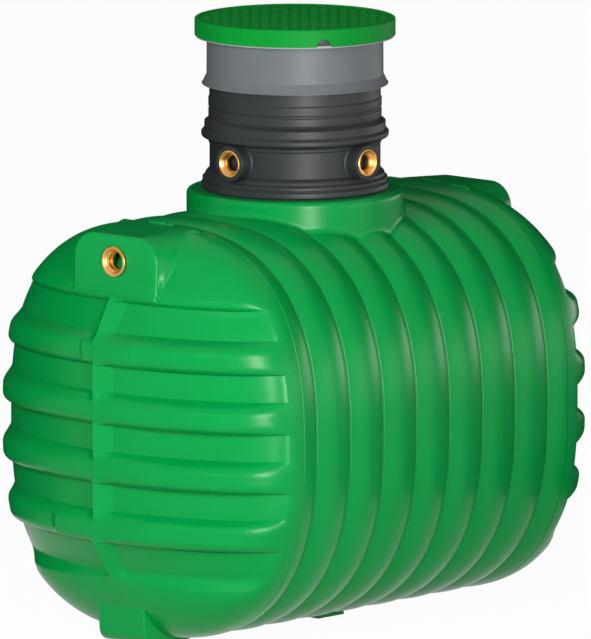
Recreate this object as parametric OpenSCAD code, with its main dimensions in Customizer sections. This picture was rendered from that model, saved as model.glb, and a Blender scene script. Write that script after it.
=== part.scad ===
// Buried septic tank: a hooped oval barrel, two domed and ribbed ends with pipe bosses,
// a manhole neck, a ringed access shaft with two branch sockets, a collar and a cover.
// X runs along the barrel with the front at -X, Z is up, and the origin is on the floor
// under the manhole.

/* [Barrel] */
// Width of the barrel over its hoops
barrel_width = 1406; // [1380:2:1440]
// Height of the barrel over its hoops
barrel_height = 1520; // [1500:4:1560]
// Squareness of the oval section, where 2 is an ellipse
section_power = 2.54; // [2.4:0.02:2.7]
// Distance from one groove to the next
hoop_pitch = 182; // [170:2:190]
// Height of a hoop over the grooves
hoop_relief = 20; // [10:1:30]
// Wall of the moulding
wall = 10; // [8:1:14]

/* [Ends] */
// Half length of the tank, to the crown of its end ribs
end_reach = 1098; // [1080:2:1120]
// Height of an end rib over the valleys beside it
rib_relief = 38; // [30:1:50]
// Distance from one end rib to the next
rib_pitch = 218; // [212:1:222]
// How far the ends lean back for each millimetre of height over the upper rib
upper_lean = 0.56; // [0.5:0.02:0.7]
// How far the ends lean back for each millimetre under the lower rib
lower_lean = 0.65; // [0.5:0.05:0.7]

/* [Bosses and feet] */
// Half length of the tank at the flat faces of the pipe bosses
boss_reach = 980; // [970:2:990]
// Width of a pipe boss
boss_width = 440; // [400:10:460]
// Height of the pipes over the barrel axis
pipe_height = 648; // [636:2:656]
// Half length of the tank at the faces of the end feet
foot_reach = 946; // [930:2:960]
// Width of an end foot
foot_width = 230; // [200:10:260]
// Height of the barrel's lowest hoops over the floor
ground_gap = 8; // [6:1:20]

/* [Manhole] */
// Outer radius of the manhole neck
neck_radius = 400; // [390:2:410]
// Height of the neck's rim over the barrel axis
neck_height = 815; // [805:1:825]
// Outer radius of the access shaft
shaft_radius = 315; // [310:1:318]
// Height of the collar's lower edge over the barrel axis
collar_height = 1202; // [1196:1:1210]
// Outer radius of the cover
cover_radius = 370; // [360:2:380]
// Height of the cover's top over the barrel axis
cover_height = 1448; // [1430:1:1470]
// Distance of the branch sockets' faces from the shaft axis
socket_reach = 362; // [355:1:380]

/* [Bushes] */
// Bore radius of the bushes in the pipe bosses
boss_bush_bore = 39; // [34:1:42]
// Bore radius of the bushes in the branch sockets
socket_bush_bore = 36; // [32:1:38]

/* [Hidden] */

green = [0.0, 0.45, 0.18];
black = [0.10, 0.11, 0.12];
grey = [0.45, 0.46, 0.48];
brass = [0.80, 0.50, 0.20];

half_y = barrel_width / 2;
half_z = barrel_height / 2;
axis_z = half_z + ground_gap;      // the barrel axis over the floor
hoops = 7;                         // whole hoops, between the two half hoops at the ends
rim_x = (hoops + 1) / 2 * hoop_pitch;
hoop_steps = 4;                    // facets along one hoop, an even number
clear = 20;                        // overrun of cutters
socket_height = 940;
socket_radius = 65;
socket_bush_radius = 52;
boss_bush_radius = 57;
shaft_wall = 14;

// ---------- the oval section ----------

function signed_power(v, p) = sign(v) * pow(abs(v), p);

// A point of the section at a parameter angle, grown outward by d.
function section_point(angle, d) = [
    (half_y + d) * signed_power(cos(angle), 2 / section_power),
    (half_z + d) * signed_power(sin(angle), 2 / section_power)
];

// Half width of the section at a height over the axis, grown outward by d.
function section_width(z, d) =
    (half_y + d) * pow(1 - pow(abs(z) / (half_z + d), section_power), 1 / section_power);

// How far the hoops stand under their crests at a place along the barrel.
function hoop_drop(x) =
    let (along = x / hoop_pitch + hoops / 2)
    -hoop_relief * pow(2 * (along - floor(along)) - 1, 2);

// A solid length of the section, to cut with.
module section_core(from_x, to_x, d)
    translate([from_x, 0, axis_z]) rotate([90, 0, 90])
        linear_extrude(to_x - from_x)
            polygon([for (i = [0:71]) section_point(i * 5, d)]);

// ---------- barrel ----------

// A length of wall between two section angles. Its outside follows the hoops in short
// steps, and its inside follows them in straight lines from groove to crest.
module barrel_wall(from_angle, to_angle, steps, from_x, to_x) {
    pitches = (to_x - from_x) / hoop_pitch;
    outer_count = round(pitches * hoop_steps);
    inner_count = round(pitches * 2);
    angles = [for (j = [0:steps])
        from_angle + (to_angle - from_angle) * j / steps];
    outer = [for (i = [0:outer_count], a = angles)
        let (x = from_x + (to_x - from_x) * i / outer_count, p = section_point(a, hoop_drop(x)))
        [x, p[0], p[1]]];
    inner = [for (i = [0:inner_count], a = angles)
        let (x = from_x + (to_x - from_x) * i / inner_count)
        let (p = section_point(a, hoop_drop(x) - wall))
        [x, p[0], p[1]]];
    wide = steps + 1;
    base = len(outer);
    last = outer_count * wide;
    inner_last = base + inner_count * wide;
    outer_faces = [for (i = [0:outer_count - 1], j = [0:steps - 1])
        let (a = i * wide + j)
        each [[a, a + wide, a + 1], [a + 1, a + wide, a + wide + 1]]];
    inner_faces = [for (i = [0:inner_count - 1], j = [0:steps - 1])
        let (a = base + i * wide + j)
        each [[a, a + 1, a + wide], [a + 1, a + wide + 1, a + wide]]];
    near_end = [for (j = [0:steps - 1]) each
        [[j, j + 1, base + j], [j + 1, base + j + 1, base + j]]];
    far_end = [for (j = [0:steps - 1])
        let (a = last + j, b = inner_last + j)
        each [[a, b, a + 1], [a + 1, b, b + 1]]];
    // Each straight length of the inside meets several facets of the outside.
    facets = outer_count / inner_count;
    edges = [for (side = [0, steps], i = [0:inner_count - 1])
        let (here = base + i * wide + side, next = here + wide)
        let (strip = concat(
            [for (k = [0:facets - 1])
                let (a = (i * facets + k) * wide + side)
                [here, a + wide, a]],
            [[here, next, (i + 1) * facets * wide + side]]
        ))
        each [for (t = strip) side == 0 ? t : [t[0], t[2], t[1]]]];
    translate([0, 0, axis_z])
        polyhedron(
            points = concat(outer, inner),
            faces = concat(outer_faces, inner_faces, near_end, far_end, edges),
            convexity = 8
        );
}

crown_angle = 56;                   // section angle where the crown meets the shoulders
side_angle = 20;                    // section angle where the shoulders meet the sides
hole_x = 2.5 * hoop_pitch;          // half length of the crown plate with the manhole

module barrel_sector(from_angle, to_angle, from_x = -rim_x, to_x = rim_x)
    color(green)
        barrel_wall(from_angle, to_angle, to_angle - from_angle > 50 ? 10 : 6, from_x, to_x);

module barrel_crown(from_x, to_x) barrel_sector(crown_angle, 180 - crown_angle, from_x, to_x);

// The crown plate round the manhole: spokes from the round hole to the plate's own edge,
// which runs along the grooves in front and behind and along the shoulders beside.
module crown_plate() {
    side_steps = 5 * hoop_steps;
    end_steps = 10;
    share = pow(cos(crown_angle), 2 / section_power);
    function crown_point(x, y, d) =
        let (drop = hoop_drop(x) + d)
        [x, y, (half_z + drop) * pow(1 - pow(abs(y) / (half_y + drop), section_power),
            1 / section_power)];
    function edge_points(d) = concat(
        [for (i = [0:side_steps - 1])
            let (x = hole_x * (1 - 2 * i / side_steps))
            [x, (half_y + hoop_drop(x) + d) * share]],
        [for (i = [0:end_steps - 1])
            let (angle = crown_angle + (180 - 2 * crown_angle) * i / end_steps)
            [-hole_x, section_point(angle, hoop_drop(hole_x) + d)[0]]],
        [for (i = [0:side_steps - 1])
            let (x = -hole_x * (1 - 2 * i / side_steps))
            [x, -(half_y + hoop_drop(x) + d) * share]],
        [for (i = [0:end_steps - 1])
            let (angle = crown_angle + (180 - 2 * crown_angle) * i / end_steps)
            [hole_x, -section_point(angle, hoop_drop(hole_x) + d)[0]]]
    );
    function ring(t, d) = [for (q = edge_points(d))
        let (hole = neck_radius * q / norm(q), p = hole + (q - hole) * t)
        crown_point(p[0], p[1], d)];
    rings = [ring(0, 0), ring(0.5, 0), ring(1, 0), ring(1, -wall), ring(0.5, -wall), ring(0, -wall)];
    n = len(rings[0]);
    function at(r, k) = (r % 6) * n + k % n;
    translate([0, 0, axis_z])
        polyhedron(
            points = [for (r = rings) each r],
            faces = [for (r = [0:5], k = [0:n - 1]) each [
                [at(r, k), at(r, k + 1), at(r + 1, k)],
                [at(r, k + 1), at(r + 1, k + 1), at(r + 1, k)]
            ]],
            convexity = 8
        );
}

// ---------- ends ----------

// The rows of an end, from below to above: height over the axis, 1 in a valley or 0 on a
// rib, and how far the inner skin's row is moved so that the wall keeps its thickness.
cap_edge = 504;                     // where the upper cap begins
low_cap_edge = 542;                 // where the lower cap begins
rib_edge = 50;                      // from a rib's middle to its sharp lower edge
rib_crest = 31;                     // from a rib's middle to the top of its crest
rib_foot = 70;                      // from a rib's middle to the foot of its upper flank
edge_step = 3;                      // height of a sharp edge
cap_angles = [44, 49, 54, 60, 66, 72, 78, 85];
function cap_height(angle) = section_point(angle, 0)[1];
bottom_rows = [for (i = [len(cap_angles) - 1:-1:0]) [-cap_height(cap_angles[i]), 0, 0]];
top_rows = [for (a = cap_angles) [cap_height(a), 0, 0]];
rib_rows = [for (k = [-1.5:1:1.5]) let (c = k * rib_pitch) each [
    [c - rib_edge - edge_step, 1, wall], [c - rib_edge, 0, wall],
    [c + rib_crest, 0, -wall], [c + rib_foot, 1, -wall]
]];
end_rows = concat(
    bottom_rows,
    [[-low_cap_edge, 0, -wall], [-480, 1, -wall]],
    rib_rows,
    [[cap_edge - edge_step, 1, wall], [cap_edge, 0, wall]],
    top_rows
);
top_z = cap_height(cap_angles[len(cap_angles) - 1]);

// The columns of one half of an end: a fixed distance from the middle, then a share of the
// half width that is left.
web_top = 5;                        // half width of the upright web in the middle
web_foot = 50;
columns = concat(
    [[web_top, 0], [web_foot, 0]],
    [for (share = [0.15, 0.3, 0.44, 0.58, 0.7, 0.81, 0.9, 0.965, 1]) [web_foot, share]]
);
both_columns = concat(
    [for (i = [len(columns) - 1:-1:0]) [-1, columns[i]]],
    [for (c = columns) [1, c]]
);

// How far an end stands out of the rim in the middle, at a height over the axis: upright
// over the ribs, then leaning back, and round over the caps.
function lean(z) = end_reach - rim_x - (z > 0 ?
    upper_lean * max(0, z - 1.5 * rib_pitch - rib_crest) :
    lower_lean * max(0, -z - 1.5 * rib_pitch - rib_edge));
function cap_share(z, edge, q, r) =
    pow(1 - pow(min(1, max(0, abs(z) - edge) / (top_z - edge)), q), r);
function bulge(z) = z > 0 ?
    lean(min(z, cap_edge)) * cap_share(z, cap_edge, 0.9, 0.47) :
    lean(max(z, -low_cap_edge)) * cap_share(z, low_cap_edge, 1.3, 0.42);

// Squareness of the end's plan at a height over the axis.
function plan_power(z) = z > cap_edge ? 2.3 : z < -low_cap_edge ? 2.4 : 2.15;

// Where a cap's skin lies along the barrel.
function cap_x(y, z) =
    let (share = min(1, abs(y) / section_width(min(z, top_z), 0)), power = plan_power(z))
    rim_x + bulge(z) * pow(1 - pow(share, power), 1 / power);

// A point of an end's skin, sunk inward by d.
function end_point(row, side, column, d) =
    let (z = row[0] * (half_z - d) / half_z + (d > 0 ? row[2] : 0))
    let (width = section_width(z, -d))
    let (y = column[0] + column[1] * (width - web_foot))
    let (valley = column[0] == web_top ? 0 : row[1])
    let (power = plan_power(row[0]) - 0.35 * valley)
    let (depth = bulge(row[0]) - rib_relief * valley)
    let (share = min(1, y / width))
    [rim_x + max(0, depth - d) * pow(max(0, 1 - pow(share, power)), 1 / power), side * y, z];

end_wide = len(both_columns);
end_high = len(end_rows);
function skin(d) = [for (row = end_rows, c = both_columns) end_point(row, c[0], c[1], d)];
function skin_faces(base, flip) = [for (i = [0:end_high - 2], j = [0:end_wide - 2])
    let (a = base + i * end_wide + j)
    each flip ?
        [[a, a + 1, a + end_wide], [a + 1, a + end_wide + 1, a + end_wide]] :
        [[a, a + end_wide, a + 1], [a + 1, a + end_wide, a + end_wide + 1]]];
end_loop = concat(
    [for (j = [0:end_wide - 2]) j],
    [for (i = [0:end_high - 2]) i * end_wide + end_wide - 1],
    [for (j = [end_wide - 1:-1:1]) (end_high - 1) * end_wide + j],
    [for (i = [end_high - 1:-1:1]) i * end_wide]
);

module end_shell() {
    base = end_wide * end_high;
    count = len(end_loop);
    rim = [for (k = [0:count - 1])
        let (a = end_loop[k], b = end_loop[(k + 1) % count])
        each [[a, b, base + a], [b, base + b, base + a]]];
    translate([0, 0, axis_z])
        polyhedron(
            points = concat(skin(0), skin(wall)),
            faces = concat(skin_faces(0, false), skin_faces(base, true), rim),
            convexity = 8
        );
}

// ---------- bosses ----------

boss_top = half_z;
boss_foot = 556;                    // height at which a boss runs into the cap
boss_round = boss_width / 4;
boss_draft = 14;                    // how much the outline narrows towards the face
boss_edge = 12;                     // radius of the face's edge

// The arched outline of a boss, sunk inward by d, as points [y, z] from foot to foot. The
// foot of its inside lies higher by the rise.
function arch(d, rise = 0) =
    let (half = boss_width / 2 - d, r = boss_round - d, flat = half - r)
    let (top = boss_top - d, spring = top - r, foot = boss_foot + rise)
    concat(
        [for (i = [0:3]) [-half, foot + (spring - foot) * i / 4]],
        [for (i = [0:6]) [-flat - r * cos(i * 15), spring + r * sin(i * 15)]],
        [[-flat / 3, top], [flat / 3, top]],
        [for (i = [6:-1:0]) [flat + r * cos(i * 15), spring + r * sin(i * 15)]],
        [for (i = [3:-1:0]) [half, foot + (spring - foot) * i / 4]]
    );

module arch_solid(from_x, to_x, d)
    translate([from_x, 0, axis_z]) rotate([90, 0, 90])
        linear_extrude(to_x - from_x) polygon(arch(d, d));

// A loft from the cap's skin to the flat face outside, and back again inside.
module boss_shell() {
    deepest = boss_reach - wall - 2;
    base_rings = [for (d = [0, wall]) [for (p = arch(d, d))
        [min(deepest, cap_x(p[0], p[1])), p[0], p[1]]]];
    edge_ring = [for (p = arch(boss_draft)) [boss_reach - boss_edge / 2, p[0], p[1]]];
    face_ring = [for (p = arch(boss_draft + boss_edge)) [boss_reach, p[0], p[1]]];
    inner_ring = [for (p = arch(wall + boss_draft, wall)) [boss_reach - wall, p[0], p[1]]];
    rings = [base_rings[0], edge_ring, face_ring, inner_ring, base_rings[1]];
    n = len(edge_ring);
    function at(ring, k) = ring * n + k % n;
    function strip(from, to) = [for (k = [0:n - 1]) each [
        [at(from, k), at(to, k), at(from, k + 1)], [at(from, k + 1), at(to, k), at(to, k + 1)]
    ]];
    translate([0, 0, axis_z])
        polyhedron(
            points = [for (ring = rings) each ring],
            faces = concat(
                strip(0, 1), strip(1, 2), strip(3, 4), strip(4, 0),
                [[for (k = [n - 1:-1:0]) at(2, k)], [for (k = [0:n - 1]) at(3, k)]]
            ),
            convexity = 4
        );
}

module boss()
    color(green) difference() {
        boss_shell();
        translate([boss_reach - clear - wall, 0, axis_z + pipe_height]) rotate([0, 90, 0])
            cylinder(h = 2 * clear + wall, r = boss_bush_bore + 8, $fn = 64);
    }

module end()
    color(green) difference() {
        end_shell();
        arch_solid(rim_x - clear, end_reach, wall);
    }

module to_front() mirror([1, 0, 0]) children();

// ---------- feet ----------

// A foot with bevelled flanks and a rounded toe, trimmed to the barrel and the end over it.
module end_foot() {
    foot_root = 560;
    foot_back = rim_x - 30;
    bevel = 60;
    toe = 50;
    color(green) difference() {
        intersection() {
            translate([foot_back, 0, 0]) rotate([90, 0, 90])
                linear_extrude(foot_reach - foot_back)
                    polygon([
                        [-foot_width / 2, 0], [foot_width / 2, 0],
                        [foot_width / 2 + bevel, axis_z - foot_root],
                        [-foot_width / 2 - bevel, axis_z - foot_root]
                    ]);
            translate([0, foot_width, 0]) rotate([90, 0, 0]) linear_extrude(2 * foot_width) {
                translate([foot_back, 0]) square([foot_reach - toe - foot_back, axis_z]);
                translate([foot_back, toe]) square([foot_reach - foot_back, axis_z]);
                translate([foot_reach - toe, toe]) circle(toe, $fn = 48);
            }
        }
        section_core(-rim_x, rim_x, 0);
        end_middle();
    }
}

// The end's middle profile as a straight solid, to cut with.
module end_middle()
    translate([0, foot_width, axis_z]) rotate([90, 0, 0]) linear_extrude(2 * foot_width)
        polygon(concat(
            [[rim_x - clear, 0], [rim_x - clear, -top_z], [rim_x, -top_z]],
            [for (i = [len(cap_angles) - 2:-1:0])
                let (z = -cap_height(cap_angles[i])) [rim_x + bulge(z), z]],
            [[rim_x + bulge(-low_cap_edge), -low_cap_edge], [rim_x + bulge(-low_cap_edge), 0]]
        ));

module belly_foot()
    color(green) difference() {
        translate([-70, -180, 0]) cube([140, 360, ground_gap + 30]);
        section_core(-rim_x, rim_x, 0);
    }

// ---------- manhole ----------

module ring_profile(points) rotate_extrude($fn = 96) polygon(points);

module neck() {
    lip = 302;
    round_radius = 18;
    color(green) difference() {
        translate([0, 0, axis_z]) rotate_extrude($fn = 96) difference() {
            union() {
                translate([lip, 600]) square([neck_radius - lip, neck_height - 600 - round_radius]);
                translate([lip, 600])
                    square([neck_radius - lip - round_radius, neck_height - 600]);
                translate([neck_radius - round_radius, neck_height - round_radius])
                    circle(round_radius, $fn = 48);
            }
            translate([lip - clear, 600 - clear])
                square([neck_radius - wall - lip + clear, neck_height - 600 + clear - wall]);
        }
        section_core(-rim_x, rim_x, -hoop_relief - wall);
    }
}

// The stepped ring in which the shaft stands: how far each corner lies outside the shaft,
// and how high over the neck's rim.
base_corners = [[29, 0], [31, 12], [28, 26], [23, 28], [25, 42], [19, 60], [5, 73], [0, 73]];

module shaft_base()
    color(black) translate([0, 0, axis_z + neck_height]) ring_profile(concat(
        [[shaft_radius, 0]],
        [for (c = base_corners) [shaft_radius + c[0], c[1]]]
    ));

// The shaft's outline above its base: radius over the wall, and the height of both edges.
shaft_rings = [[30, 1008, 1038], [19, 1041, 1075], [4, 1082, 1112], [4, 1120, 1157]];

module socket_hole(angle)
    translate([0, 0, axis_z + socket_height]) rotate([0, 90, angle])
        cylinder(h = socket_reach, r = socket_radius, $fn = 64);

module shaft()
    color(black) difference() {
        translate([0, 0, axis_z]) union() {
            translate([0, 0, neck_height]) difference() {
                cylinder(h = collar_height + 30 - neck_height, r = shaft_radius, $fn = 96);
                translate([0, 0, -clear])
                    cylinder(h = 600, r = shaft_radius - shaft_wall, $fn = 96);
            }
            for (ring = shaft_rings)
                translate([0, 0, ring[1]]) difference() {
                    cylinder(h = ring[2] - ring[1], r = shaft_radius + ring[0], $fn = 96);
                    translate([0, 0, -clear]) cylinder(h = 100, r = shaft_radius - 1, $fn = 96);
                }
        }
        socket_hole(180);
        socket_hole(270);
    }

// A branch socket, square to the shaft and trimmed to its round wall.
module socket(angle)
    color(black) difference() {
        translate([0, 0, axis_z + socket_height]) rotate([0, 90, angle])
            difference() {
                cylinder(h = socket_reach, r = socket_radius, $fn = 64);
                translate([0, 0, socket_reach - 40])
                    cylinder(h = 40 + clear, r = socket_bush_radius, $fn = 64);
                translate([0, 0, -clear])
                    cylinder(h = socket_reach + clear, r = socket_bush_bore, $fn = 64);
            }
        translate([0, 0, axis_z + socket_height - 2 * socket_radius])
            cylinder(h = 4 * socket_radius, r = shaft_radius - shaft_wall, $fn = 96);
    }

module collar()
    color(grey) translate([0, 0, axis_z]) ring_profile([
        [shaft_radius, collar_height], [341, collar_height], [341, collar_height + 8],
        [325, collar_height + 34], [325, cover_height - 30], [shaft_radius - 10, cover_height - 30],
        [shaft_radius - 10, collar_height + 31], [shaft_radius, collar_height + 31]
    ]);

module cover() {
    rim = 65;
    plate = 8;
    skirt = 14;
    notch_angle = -31;
    notch_width = 60;
    notch_height = 27;
    notch_corner = 14;
    color(green) translate([0, 0, axis_z + cover_height]) difference() {
        ring_profile([
            [0, -plate - 22], [0, 0], [cover_radius - 6, 0], [cover_radius, -6],
            [cover_radius, -rim], [cover_radius - skirt, -rim],
            [cover_radius - skirt, -plate - 22]
        ]);
        rotate([90, 0, notch_angle]) translate([0, -rim, cover_radius / 2])
            linear_extrude(height = cover_radius / 2 + clear)
                polygon([
                    [-notch_width / 2, -clear], [notch_width / 2, -clear],
                    [notch_width / 2, notch_height - notch_corner],
                    [notch_width / 2 - notch_corner, notch_height],
                    [notch_corner - notch_width / 2, notch_height],
                    [-notch_width / 2, notch_height - notch_corner]
                ]);
    }
}

// ---------- bushes ----------

module bush(bore, radius, length, flange)
    color(brass) rotate([0, 90, 0]) difference() {
        union() {
            cylinder(h = length, r = bore + 8, $fn = 64);
            translate([0, 0, length - flange]) cylinder(h = flange, r = radius, $fn = 64);
        }
        translate([0, 0, -clear]) cylinder(h = length + 2 * clear, r = bore - 6, $fn = 64);
        translate([0, 0, 14]) cylinder(h = length, r = bore, $fn = 64);
    }

module boss_bush()
    translate([boss_reach - 40, 0, axis_z + pipe_height])
        bush(boss_bush_bore, boss_bush_radius, 50, 10);

module socket_bush(angle)
    rotate([0, 0, angle]) translate([socket_reach - 40, 0, axis_z + socket_height])
        bush(socket_bush_bore, socket_bush_radius, 40, 40);

barrel_crown(-rim_x, -hole_x);  // barrel_crown_front
color(green) crown_plate();  // barrel_crown
barrel_crown(hole_x, rim_x);  // barrel_crown_rear
barrel_sector(180 - crown_angle, 180 - side_angle);  // barrel_shoulder_left
barrel_sector(side_angle, crown_angle);  // barrel_shoulder_right
barrel_sector(180 - side_angle, 180 + side_angle);  // barrel_side_left
barrel_sector(-side_angle, side_angle);  // barrel_side_right
barrel_sector(180 + side_angle, 180 + crown_angle);  // barrel_haunch_left
barrel_sector(-crown_angle, -side_angle);  // barrel_haunch_right
barrel_sector(180 + crown_angle, 360 - crown_angle);  // barrel_belly
to_front() end();  // front_end
end();  // rear_end
to_front() boss();  // front_boss
boss();  // rear_boss
to_front() end_foot();  // front_foot
end_foot();  // rear_foot
belly_foot();
neck();
shaft_base();
shaft();
socket(180);  // front_socket
socket(270);  // side_socket
collar();
cover();
to_front() boss_bush();  // front_boss_bush
boss_bush();  // rear_boss_bush
socket_bush(180);  // front_socket_bush
socket_bush(270);  // side_socket_bush
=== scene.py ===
import math

import bmesh
import bpy
import numpy as np
from mathutils import Matrix, Vector


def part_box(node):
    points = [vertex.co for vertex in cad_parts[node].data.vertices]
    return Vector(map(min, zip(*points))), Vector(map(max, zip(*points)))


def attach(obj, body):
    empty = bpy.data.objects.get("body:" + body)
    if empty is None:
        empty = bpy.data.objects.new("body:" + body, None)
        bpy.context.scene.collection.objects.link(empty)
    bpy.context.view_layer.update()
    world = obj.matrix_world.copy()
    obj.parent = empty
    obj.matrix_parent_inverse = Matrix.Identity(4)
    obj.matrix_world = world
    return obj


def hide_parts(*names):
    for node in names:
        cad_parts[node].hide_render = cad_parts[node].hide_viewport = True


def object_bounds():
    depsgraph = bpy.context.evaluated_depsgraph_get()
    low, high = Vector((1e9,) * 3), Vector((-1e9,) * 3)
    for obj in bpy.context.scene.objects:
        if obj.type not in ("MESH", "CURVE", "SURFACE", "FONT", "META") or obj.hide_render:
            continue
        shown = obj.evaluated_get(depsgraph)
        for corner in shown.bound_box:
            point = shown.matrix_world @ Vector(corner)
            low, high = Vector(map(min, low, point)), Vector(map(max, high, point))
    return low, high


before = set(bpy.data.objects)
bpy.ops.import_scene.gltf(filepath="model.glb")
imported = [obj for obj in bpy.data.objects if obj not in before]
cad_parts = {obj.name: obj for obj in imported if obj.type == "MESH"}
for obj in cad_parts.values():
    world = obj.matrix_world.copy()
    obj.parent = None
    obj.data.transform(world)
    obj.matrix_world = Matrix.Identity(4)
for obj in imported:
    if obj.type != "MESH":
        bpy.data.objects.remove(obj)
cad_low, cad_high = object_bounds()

# ---------- places, from the frame ----------


def low(node):
    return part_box(node)[0]


def high(node):
    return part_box(node)[1]


FLOOR_Z = cad_low[2]
HALF_Y = (high("barrel_side_right")[1] - low("barrel_side_left")[1]) / 2
HALF_Z = (high("barrel_crown_front")[2] - low("barrel_belly")[2]) / 2
AXIS_Z = (high("barrel_crown_front")[2] + low("barrel_belly")[2]) / 2
RIM_X = high("barrel_side_left")[0]
END_REACH = high("rear_end")[0]
BOSS_REACH = high("rear_boss")[0]
FOOT_REACH = high("rear_foot")[0]
NECK_TOP = high("neck")[2] - AXIS_Z
NECK_RADIUS = high("neck")[0]
COLLAR_FOOT = low("collar")[2] - AXIS_Z
COVER_TOP = high("cover")[2] - AXIS_Z
COVER_FOOT = low("cover")[2] - AXIS_Z
COVER_RADIUS = high("cover")[0]
SOCKET_REACH = -low("front_socket")[0]
SOCKET_Z = (high("front_socket")[2] + low("front_socket")[2]) / 2 - AXIS_Z
SOCKET_RADIUS = (high("front_socket")[2] - low("front_socket")[2]) / 2
BOSS_BUSH_Z = (high("front_boss_bush")[2] + low("front_boss_bush")[2]) / 2 - AXIS_Z
BOSS_BUSH_RADIUS = (high("front_boss_bush")[2] - low("front_boss_bush")[2]) / 2
SOCKET_BUSH_RADIUS = (high("front_socket_bush")[2] - low("front_socket_bush")[2]) / 2
BUSH_REACH = high("rear_boss_bush")[0]

# ---------- shape of the moulding, in metres ----------

FRONT, REAR = -1, 1        # which way along the barrel a piece faces
ROUND_STEPS = 224          # facets round the barrel and the neck
WALL = 0.010
THIN_WALL = 0.008          # of the bosses and the neck

SECTION_POWER = 2.54
HOOPS = 8                  # pitches between the two rims
HOOP_PITCH = 2 * RIM_X / HOOPS
HOOP_RELIEF = 0.020
HOOP_SOFTNESS = 0.0015     # radius where two hoops meet
GROOVE_DEPTH = 0.0035      # of the fine notch where two hoops meet
GROOVE_HALF = 0.0026
MANHOLE_RADIUS = 0.385     # of the hole in the barrel under the neck

RIB_RELIEF = 0.038
RIB_PITCH = 0.218
RIB_MIDDLES = [k * RIB_PITCH for k in (-1.5, -0.5, 0.5, 1.5)]
RIB_EDGE = 0.050           # from a rib's middle to its lower edge
RIB_CREST = 0.031          # from a rib's middle to the top of its crest
RIB_FOOT = 0.070           # from a rib's middle to the foot of its upper flank
EDGE_ROUND = 0.040         # height of the rounding over a rib's lower edge
FLANK_ROUND = 0.050        # height of a rib's upper flank
FADE_START = 0.150         # the ribs begin to fade where the end stands this far past the rim
FADE_END = 0.025           # and are gone where it stands this far
CAP_EDGE = 0.504           # height of the upper cap's lower edge
LOW_CAP_EDGE = 0.542       # depth of the lower cap's upper edge
LOW_CAP_VALLEY = 0.480     # depth at which the valley over the lower cap begins to rise
UPPER_LEAN = 0.56          # how fast the end leans back, over its height
LOWER_LEAN = 0.65
PLAN_POWER = 2.15          # squareness of the end, seen from above
VALLEY_LOSS = 0.35         # how much rounder it is in a valley
WEB_FOOT = 0.062           # half width of the upright web at its foot
WEB_FAR = 0.034            # the same on the right side, which is steeper
RIDGE = 0.0015             # height of the parting line
RIDGE_HALF = 0.006
PAD_RELIEF = 0.008
PAD_LENGTHS = (            # a rib's middle, and where its pad's sharp and soft ends are
    (RIB_MIDDLES[3], 0.065, -0.185),
    (RIB_MIDDLES[0], 0.210, -0.290),
)

BOSS_HALF = 0.220
BOSS_ROUND = 0.110
BOSS_FOOT = 0.520
BOSS_BLEND = 0.014         # how softly a boss's face runs out into the cap
BOSS_DRAFT = 0.014
BOSS_EDGE = 0.012

SHAFT_RADIUS = 0.315
SHAFT_WALL = 0.014
FRONT_BRANCH = math.pi     # the way each branch points, round the shaft
SIDE_BRANCH = -math.pi / 2
BOSS_BUSH_BORE = 0.039
BOSS_BUSH_LENGTH = 0.050
SOCKET_BUSH_BORE = 0.036
SOCKET_BUSH_LENGTH = 0.040


# ---------- small helpers ----------

def smooth(t):
    t = np.clip(t, 0, 1)
    return t * t * (3 - 2 * t)


def linear(red, green, blue):
    """A colour of 0-255 in sRGB, as the linear RGBA that shaders take."""
    def one(v):
        v /= 255
        return v / 12.92 if v <= 0.04045 else ((v + 0.055) / 1.055) ** 2.4
    return one(red), one(green), one(blue), 1.0


def grid_faces(rows, columns, wrap_rows=False, wrap_columns=False, flip=False):
    i, j = np.meshgrid(
        np.arange(rows if wrap_rows else rows - 1),
        np.arange(columns if wrap_columns else columns - 1),
        indexing="ij",
    )
    a = i * columns + j
    b = i * columns + (j + 1) % columns
    up = ((i + 1) % rows) * columns
    c = up + (j + 1) % columns
    d = up + j
    order = (a, d, c, b) if flip else (a, b, c, d)
    return np.stack(order, axis=-1).reshape(-1, 4)


def in_scene(name, data):
    thing = bpy.data.objects.new(name, data)
    bpy.context.scene.collection.objects.link(thing)
    return thing


def add_piece(name, points, faces, material, nodes=(), sharp=None):
    """A mesh that rides the tank; edges over the angle sharp, in degrees, stay crisp."""
    mesh = bpy.data.meshes.new(name)
    corners = np.asarray(points, float).reshape(-1, 3).tolist()
    mesh.from_pydata(corners, [], [list(map(int, f)) for f in faces])
    work = bmesh.new()
    work.from_mesh(mesh)
    bmesh.ops.remove_doubles(work, verts=work.verts, dist=1e-6)
    loose = [v for v in work.verts if not v.link_faces]
    bmesh.ops.delete(work, geom=loose, context="VERTS")
    bmesh.ops.recalc_face_normals(work, faces=work.faces)
    work.to_mesh(mesh)
    work.free()
    mesh.shade_smooth()
    if sharp is not None:
        mesh.set_sharp_from_angle(angle=math.radians(sharp))
    piece = in_scene(name, mesh)
    mesh.materials.append(material)
    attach(piece, "root")
    if nodes:
        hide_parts(*nodes)
    return piece


def thicken(piece, thickness):
    solid = piece.modifiers.new("wall", "SOLIDIFY")
    solid.thickness = thickness
    solid.offset = -1
    return piece


def outward(piece, centre):
    """Turns an open piece's faces away from a point inside it."""
    work = bmesh.new()
    work.from_mesh(piece.data)
    facing = sum((f.calc_center_median() - Vector(centre)).dot(f.normal) * f.calc_area()
                 for f in work.faces)
    if facing < 0:
        bmesh.ops.reverse_faces(work, faces=work.faces)
    work.to_mesh(piece.data)
    work.free()
    return piece


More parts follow.
